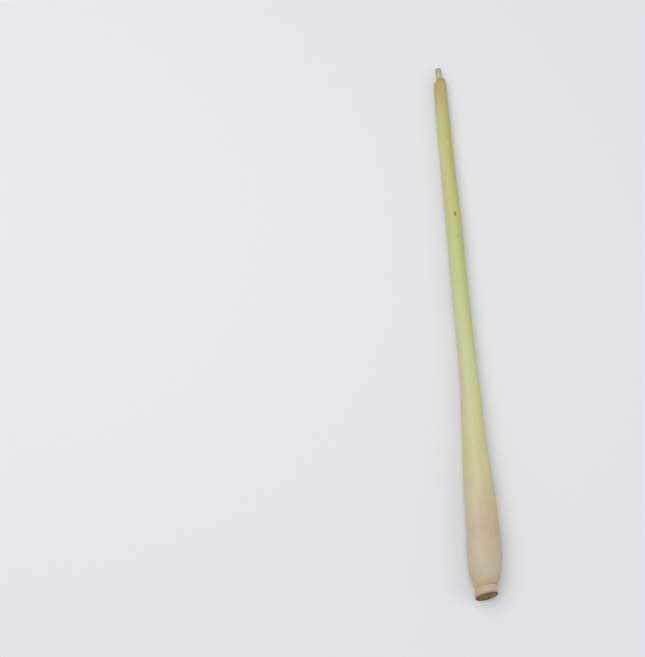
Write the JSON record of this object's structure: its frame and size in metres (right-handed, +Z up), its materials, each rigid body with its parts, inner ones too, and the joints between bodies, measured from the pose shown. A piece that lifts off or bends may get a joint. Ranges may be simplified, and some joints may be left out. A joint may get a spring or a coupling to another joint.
{
  "type": "lemongrass stalk",
  "caption": "Cut stalk of lemongrass lying down: a pale swollen bulb on a browned cut foot, a long thin neck, a dry rim and the flat-cut shoot that stands out of it.",
  "frame": {"origin": "middle of the bottom of the bounding box, on the surface that the stalk lies on", "axes": "+Y along the stalk from its cut foot to its shoot, +Z up from the surface, +X to the right when the shoot points away"},
  "size_m": [0.0252, 0.422, 0.0222],
  "materials": {
    "stem": "pale fibrous stem with a browned, dried cut",
    "outer_leaf": "satin ribbed leaf, cream at the bulb, yellow-green above and tan at the dry rim",
    "inner_leaf": "thin dry leaf with a pinkish brown rim",
    "young_leaf": "smooth fresh rolled leaf, pale yellow-green"
  },
  "bodies": {
    "root": {"stem_base": "stem", "outer_sheath": "outer_leaf", "inner_sheath": "inner_leaf", "heart_shoot": "young_leaf"}
  },
  "joints": []
}
